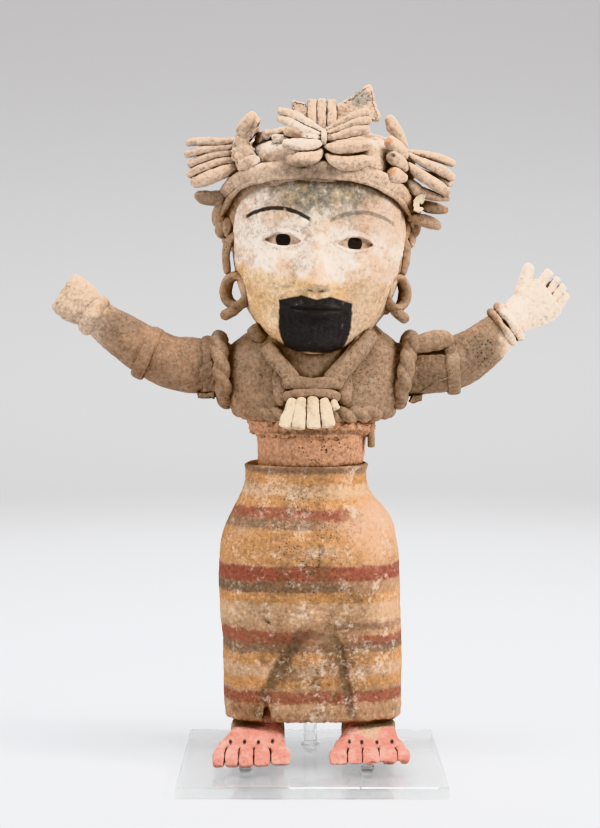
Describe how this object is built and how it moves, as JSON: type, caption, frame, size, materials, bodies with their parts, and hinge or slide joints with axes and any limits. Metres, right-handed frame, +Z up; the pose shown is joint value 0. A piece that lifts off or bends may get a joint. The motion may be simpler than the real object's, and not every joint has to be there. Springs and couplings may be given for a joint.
{
  "type": "clay figure on a stand",
  "caption": "Standing hollow clay woman with raised open arms, rope-edged bodice, striped wrap skirt and bow headdress, on a clear stand.",
  "frame": {"origin": "centre of the stand plate's underside, on the surface that it stands on", "axes": "+Z up, the figure faces -Y, +X towards the figure's own left hand"},
  "size_m": [0.4418, 0.2, 0.5755],
  "materials": {
    "clay": "matte buff low-fired clay, darker in patches, with cream slip, ochre and black paint on the face",
    "painted_clay": "matte clay with worn painted bands of orange, red, cream and grey-brown, and pink feet",
    "acrylic": "clear polished acrylic"
  },
  "bodies": {
    "root": {"upper_figure": "clay", "skirt_with_feet": "painted_clay", "stand_plate": "acrylic", "stand_rod": "acrylic", "toe_pad_left": "acrylic", "toe_pad_right": "acrylic"}
  },
  "joints": []
}
